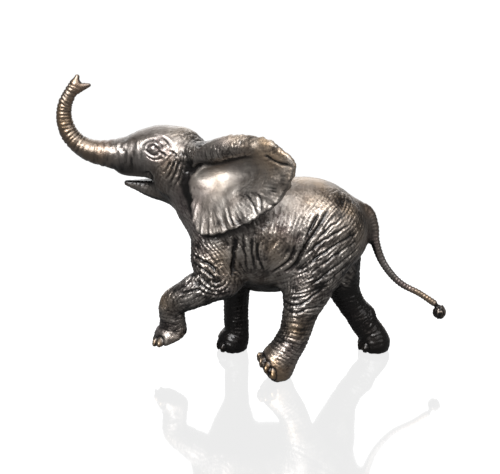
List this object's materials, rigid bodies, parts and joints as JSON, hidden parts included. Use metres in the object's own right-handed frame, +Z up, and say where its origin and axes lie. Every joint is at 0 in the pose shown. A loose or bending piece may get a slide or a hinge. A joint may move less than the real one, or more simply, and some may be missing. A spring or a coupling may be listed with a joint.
{
  "type": "elephant sculpture",
  "caption": "Small cast bronze of an African elephant calf at a trot, trunk thrown up, ears spread and left forefoot lifted; stands on its own feet, dark brown patina.",
  "frame": {"origin": "middle of the footprint box, on the plane that the three standing feet rest on", "axes": "X along the calf from head to tail, with the head towards -X; Y across it, with its left side towards -Y; Z up"},
  "size_m": [0.1542, 0.0638, 0.1164],
  "materials": {
    "bronze": "dark brown chemical patina under wax, rubbed back to warm gold on the raised places"
  },
  "bodies": {
    "root": {"elephant": "bronze"}
  },
  "joints": []
}
